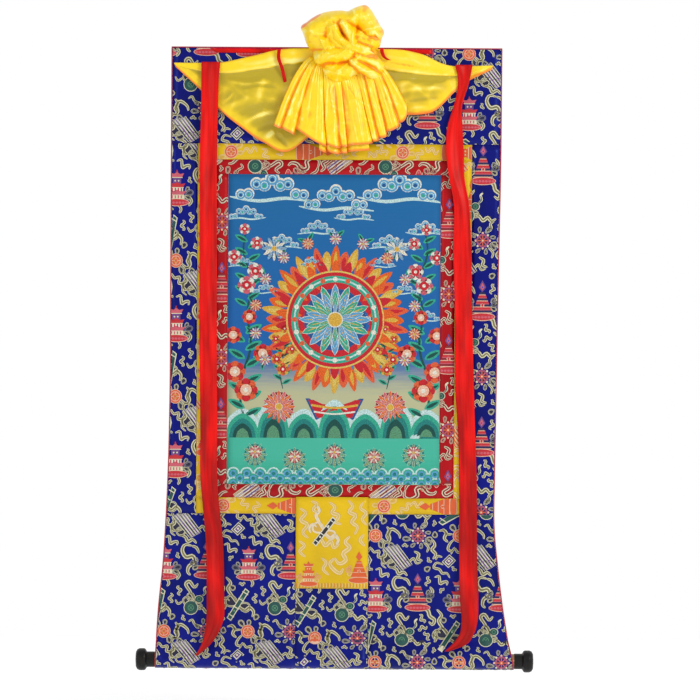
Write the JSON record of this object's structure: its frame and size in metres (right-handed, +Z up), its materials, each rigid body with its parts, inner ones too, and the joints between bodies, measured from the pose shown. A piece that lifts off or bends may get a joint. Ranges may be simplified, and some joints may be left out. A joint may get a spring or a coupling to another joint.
{
  "type": "thangka scroll painting",
  "caption": "Painted panel in red and gold brocade borders on a blue brocade mount, with a gathered yellow silk veil, red ribbons and a roller with black knobs.",
  "frame": {"origin": "middle of the brocade's top edge, where the scroll is hung", "axes": "+Z up, +X to the right as seen from the front, -Y the way the front faces; the wall is on +Y"},
  "size_m": [0.8428, 0.1014, 1.4128],
  "materials": {
    "blue_brocade": "figured brocade, royal blue",
    "gold_brocade": "figured brocade, gold",
    "red_brocade": "figured brocade, red",
    "canvas": "painted cotton canvas",
    "yellow_silk": "thin glossy silk",
    "red_satin": "satin ribbon",
    "red_cord": "covered cord",
    "dowel_wood": "plain turned wood",
    "black_lacquer": "black lacquered turned wood"
  },
  "bodies": {
    "root": {"brocade_top": "blue_brocade", "brocade_left": "blue_brocade", "brocade_right": "blue_brocade", "brocade_foot_left": "blue_brocade", "brocade_foot_centre": "blue_brocade", "brocade_foot_right": "blue_brocade", "piping_left": "red_cord", "piping_right": "red_cord", "piping_top": "red_cord", "gold_top": "gold_brocade", "gold_bottom": "gold_brocade", "gold_left": "gold_brocade", "gold_right": "gold_brocade", "red_top": "red_brocade", "red_bottom": "red_brocade", "red_left": "red_brocade", "red_right": "red_brocade", "painting": "canvas", "gold_patch": "gold_brocade", "roller": "dowel_wood", "knob_left": "black_lacquer", "knob_right": "black_lacquer", "hanging_band": "red_satin", "veil": "yellow_silk", "streamer_left": "red_satin", "streamer_right": "red_satin", "tie_left": "red_satin", "tie_right": "red_satin"}
  },
  "joints": []
}
